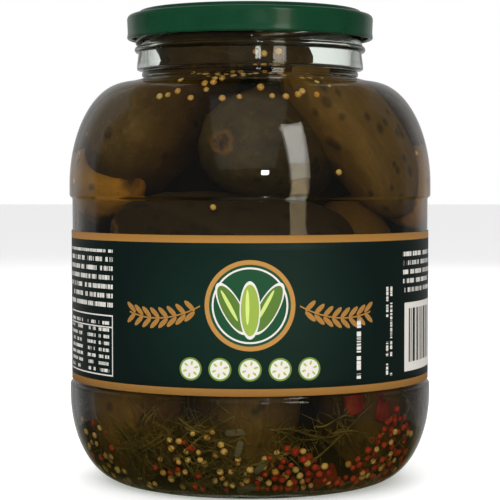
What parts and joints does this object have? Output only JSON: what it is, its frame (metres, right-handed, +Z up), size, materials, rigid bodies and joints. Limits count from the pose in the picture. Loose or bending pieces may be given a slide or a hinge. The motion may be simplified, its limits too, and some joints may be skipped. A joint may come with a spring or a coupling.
{
  "type": "pickle jar",
  "caption": "Shut clear-glass jar with a twist-off metal cap and a wrap-round paper label, packed with whole gherkins and spices in brine.",
  "frame": {"origin": "middle of the ring that the jar stands on", "axes": "+Z up along the jar's axis, -Y towards the label's front"},
  "size_m": [0.1264, 0.1264, 0.1635],
  "materials": {
    "glass": "clear moulded flint glass",
    "cap_enamel": "dark green gloss enamel on pressed tinplate",
    "label_paper": "printed and varnished paper, dark green with gold bands",
    "gherkin": "wet olive-brown pickled skin"
  },
  "bodies": {
    "root": {"jar_glass": "glass", "cap": "cap_enamel", "label": "label_paper", "gherkin_heap": "gherkin"}
  },
  "joints": []
}
